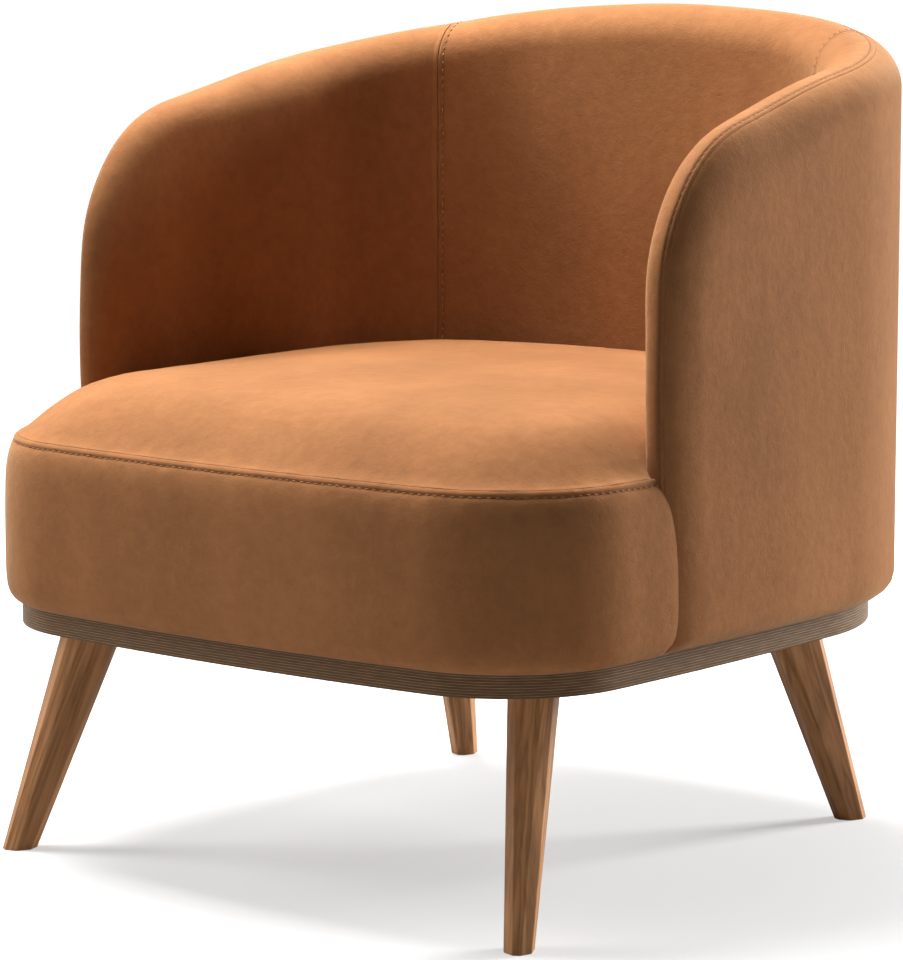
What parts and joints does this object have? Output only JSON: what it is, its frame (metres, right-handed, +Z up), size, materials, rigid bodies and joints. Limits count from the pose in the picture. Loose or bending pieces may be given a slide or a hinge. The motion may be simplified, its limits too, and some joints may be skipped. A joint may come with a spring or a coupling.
{
  "type": "accent chair",
  "caption": "Upholstered tub chair with a fixed crowned seat, a low curved shell that runs from arm to arm round the back, a plywood base board and splayed wooden legs.",
  "frame": {"origin": "on the floor, under the middle of the chair's overall box", "axes": "+Z up, the front of the chair faces -Y, +X is on the right in a view from the front; the chair is the same on both sides of the YZ plane"},
  "size_m": [0.7002, 0.6968, 0.7605],
  "materials": {
    "velvet": "short velvet pile, warm rust brown",
    "stained_plywood": "walnut stained plywood with its layers showing on the edge",
    "stained_wood": "solid wood, walnut stain, satin lacquer",
    "raw_plywood": "raw birch plywood",
    "beech_dowel": "raw beech",
    "bent_board": "thin bent fibreboard",
    "zinc_steel": "zinc plated",
    "webbing": "woven elastic webbing",
    "wadding": "polyester wadding",
    "foam": "polyurethane foam"
  },
  "bodies": {
    "root": {"arm_front_post_left": "raw_plywood", "arm_front_post_right": "raw_plywood", "base_board": "stained_plywood", "base_screws": "zinc_steel", "front_left_leg": "stained_wood", "front_right_leg": "stained_wood", "inner_cover_centre": "velvet", "inner_cover_left": "velvet", "inner_cover_right": "velvet", "inner_foam_centre": "foam", "inner_foam_left": "foam", "inner_foam_right": "foam", "leg_bolts": "zinc_steel", "leg_dowels": "beech_dowel", "leg_inserts": "zinc_steel", "leg_washers": "zinc_steel", "outer_cover": "velvet", "outer_wadding": "wadding", "rear_left_leg": "stained_wood", "rear_right_leg": "stained_wood", "seat_band_cover": "velvet", "seat_band_foam": "foam", "seat_base_ring": "raw_plywood", "seat_deck_ring": "raw_plywood", "seat_foam": "foam", "seat_front_panel": "bent_board", "seat_post_front_middle": "raw_plywood", "seat_post_left_front": "raw_plywood", "seat_post_left_rear": "raw_plywood", "seat_post_left_side": "raw_plywood", "seat_post_right_front": "raw_plywood", "seat_post_right_rear": "raw_plywood", "seat_post_right_side": "raw_plywood", "seat_top_cover": "velvet", "seat_wadding": "wadding", "shell_inner_lining": "bent_board", "shell_outer_lining": "bent_board", "shell_post_left_front": "raw_plywood", "shell_post_left_middle": "raw_plywood", "shell_post_left_rear": "raw_plywood", "shell_post_right_front": "raw_plywood", "shell_post_right_middle": "raw_plywood", "shell_post_right_rear": "raw_plywood", "shell_sole_rail": "raw_plywood", "shell_top_rail": "raw_plywood", "webbing_cross_1": "webbing", "webbing_cross_2": "webbing", "webbing_cross_3": "webbing", "webbing_long_1": "webbing", "webbing_long_2": "webbing", "webbing_long_3": "webbing", "webbing_long_4": "webbing"}
  },
  "joints": []
}
